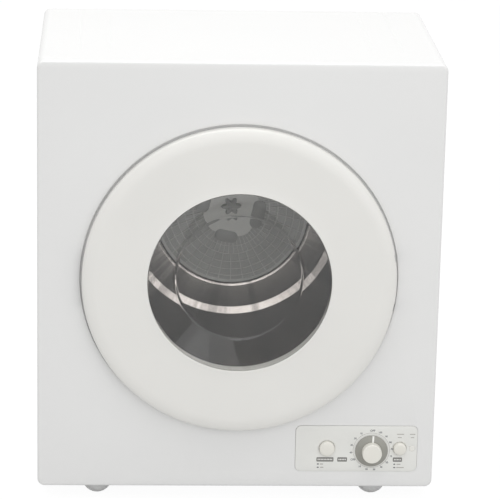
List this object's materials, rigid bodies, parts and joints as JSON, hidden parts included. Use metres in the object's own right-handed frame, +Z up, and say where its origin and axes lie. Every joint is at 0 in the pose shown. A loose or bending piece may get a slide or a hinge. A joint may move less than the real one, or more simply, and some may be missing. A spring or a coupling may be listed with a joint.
{
  "type": "clothes dryer",
  "caption": "Compact vented clothes dryer: square white cabinet, round door with a smoked bowl window at the front, timer panel low at the right, drum, belt drive and fan inside.",
  "frame": {"origin": "on the floor, under the middle of the bounding box", "axes": "+X to the right as seen from the front, +Y from the front to the back, +Z up; the door faces -Y"},
  "size_m": [0.6, 0.434, 0.68],
  "materials": {
    "white_enamel": "semi-gloss enamel on sheet steel",
    "zinc_steel": "zinc-plated sheet steel",
    "foot_rubber": "moulded rubber foot on a steel stud",
    "felt": "pressed felt",
    "grey_plastic": "moulded",
    "dark_plastic": "moulded",
    "fascia_plastic": "fine satin",
    "lens": "frosted lens",
    "knob_grey": "satin",
    "knob_white": "satin gloss",
    "button_plastic": "satin gloss",
    "door_plastic": "soft gloss",
    "smoked_window": "clear polycarbonate with a light smoke tint",
    "rubber": "black rubber",
    "stainless": "bright stainless sheet",
    "lifter_plastic": "moulded",
    "shaft_steel": "turned steel",
    "filter_plastic": "moulded",
    "filter_mesh": "fine woven mesh",
    "cast_alloy": "as cast and turned",
    "bronze": "sintered bronze",
    "motor_paint": "dark enamel",
    "heater_ceramic": "aluminium fins on ceramic heating stones"
  },
  "bodies": {
    "cabinet": {"front_panel": "white_enamel", "left_side_panel": "white_enamel", "right_side_panel": "white_enamel", "top_panel": "white_enamel", "rear_panel": "zinc_steel", "base_plate": "zinc_steel", "front_bulkhead": "zinc_steel", "front_felt_seal": "felt", "latch_housing": "grey_plastic", "hinge_bracket": "zinc_steel", "control_fascia": "fascia_plastic", "timer_body": "dark_plastic", "button_switches": "dark_plastic", "indicator_lens": "lens", "rear_felt_seal": "felt", "fan_housing": "grey_plastic", "fan_belt": "rubber", "exhaust_collar": "zinc_steel", "bearing_bracket": "zinc_steel", "rear_bearing": "bronze", "rear_cover": "zinc_steel", "motor_housing": "motor_paint", "motor_bracket": "zinc_steel", "drive_belt": "rubber", "tensioner_bracket": "zinc_steel", "heater_box": "zinc_steel", "heater_element": "heater_ceramic", "air_duct": "zinc_steel", "cord_gland": "rubber", "case_screws": "shaft_steel"},
    "door": {"door_ring": "door_plastic", "door_inner_frame": "door_plastic", "door_window": "smoked_window", "door_seal": "rubber", "door_strike": "grey_plastic", "hinge_leaf": "zinc_steel"},
    "drum": {"drum_shell": "stainless", "drum_back": "stainless", "drum_lifters": "lifter_plastic", "drum_hub": "zinc_steel", "drum_shaft": "shaft_steel"},
    "lint_filter": {"filter_frame": "filter_plastic", "filter_mesh": "filter_mesh", "filter_grip": "filter_plastic"},
    "fan": {"fan_wheel": "dark_plastic", "fan_pulley": "cast_alloy"},
    "rotor": {"motor_rotor": "shaft_steel", "drive_pulley": "cast_alloy", "fan_drive_pulley": "cast_alloy"},
    "tensioner": {"tensioner_arm": "zinc_steel", "tensioner_spring": "shaft_steel"},
    "idler": {"idler_pulley": "lifter_plastic"},
    "timer_knob": {"knob_skirt": "knob_grey", "knob_cap": "knob_white"},
    "start_key": {"start_button": "button_plastic"},
    "heat_key": {"heat_button": "button_plastic"},
    "front_left_foot": {"foot_front_left": "foot_rubber"},
    "front_right_foot": {"foot_front_right": "foot_rubber"},
    "rear_left_foot": {"foot_rear_left": "foot_rubber"},
    "rear_right_foot": {"foot_rear_right": "foot_rubber"}
  },
  "joints": [
    {"name": "door_hinge", "type": "hinge", "parent": "cabinet", "child": "door", "pos_m": [0.222, -0.208, 0.351], "axis": [0, 0, 1], "range_deg": [0, 130]},
    {"name": "drum_spin", "type": "hinge", "parent": "cabinet", "child": "drum", "pos_m": [0, 0.105, 0.372], "axis": [0, 1, 0], "continuous": true},
    {"name": "filter_pull", "type": "slide", "parent": "drum", "child": "lint_filter", "axis": [0, -1, 0], "range_m": [0, 0.12]},
    {"name": "motor_spin", "type": "hinge", "parent": "cabinet", "child": "rotor", "pos_m": [0.205, 0.09, 0.095], "axis": [0, 1, 0], "continuous": true},
    {"name": "fan_spin", "type": "hinge", "parent": "cabinet", "child": "fan", "pos_m": [0, 0.155, 0.372], "axis": [0, 1, 0], "continuous": true},
    {"name": "tensioner_swing", "type": "hinge", "parent": "cabinet", "child": "tensioner", "pos_m": [0.166, 0.0145, 0.052], "axis": [0, 1, 0], "range_deg": [0, 12], "stiffness_Nm_per_rad": 1.5, "springref_deg": -20.05},
    {"name": "idler_spin", "type": "hinge", "parent": "tensioner", "child": "idler", "pos_m": [0.125, 0.0065, 0.092], "axis": [0, 1, 0], "continuous": true},
    {"name": "timer_turn", "type": "hinge", "parent": "cabinet", "child": "timer_knob", "pos_m": [0.206, -0.198, 0.0807], "axis": [0, 1, 0], "continuous": true},
    {"name": "start_press", "type": "slide", "parent": "cabinet", "child": "start_key", "axis": [0, 1, 0], "range_m": [0, 0.003], "stiffness_N_per_m": 500, "springref_m": -0.002},
    {"name": "heat_press", "type": "slide", "parent": "cabinet", "child": "heat_key", "axis": [0, 1, 0], "range_m": [0, 0.003], "stiffness_N_per_m": 500, "springref_m": -0.002},
    {"name": "front_left_foot_turn", "type": "hinge", "parent": "cabinet", "child": "front_left_foot", "pos_m": [-0.21, -0.155, 0.011], "axis": [0, 0, 1], "continuous": true},
    {"name": "front_right_foot_turn", "type": "hinge", "parent": "cabinet", "child": "front_right_foot", "pos_m": [0.21, -0.155, 0.011], "axis": [0, 0, 1], "continuous": true},
    {"name": "rear_left_foot_turn", "type": "hinge", "parent": "cabinet", "child": "rear_left_foot", "pos_m": [-0.21, 0.155, 0.011], "axis": [0, 0, 1], "continuous": true},
    {"name": "rear_right_foot_turn", "type": "hinge", "parent": "cabinet", "child": "rear_right_foot", "pos_m": [0.21, 0.155, 0.011], "axis": [0, 0, 1], "continuous": true}
  ],
  "couplings": [
    {"joint": "motor_spin", "follows": "drum_spin", "ratio": 27.116},
    {"joint": "fan_spin", "follows": "drum_spin", "ratio": 22.231},
    {"joint": "idler_spin", "follows": "drum_spin", "ratio": 21}
  ]
}
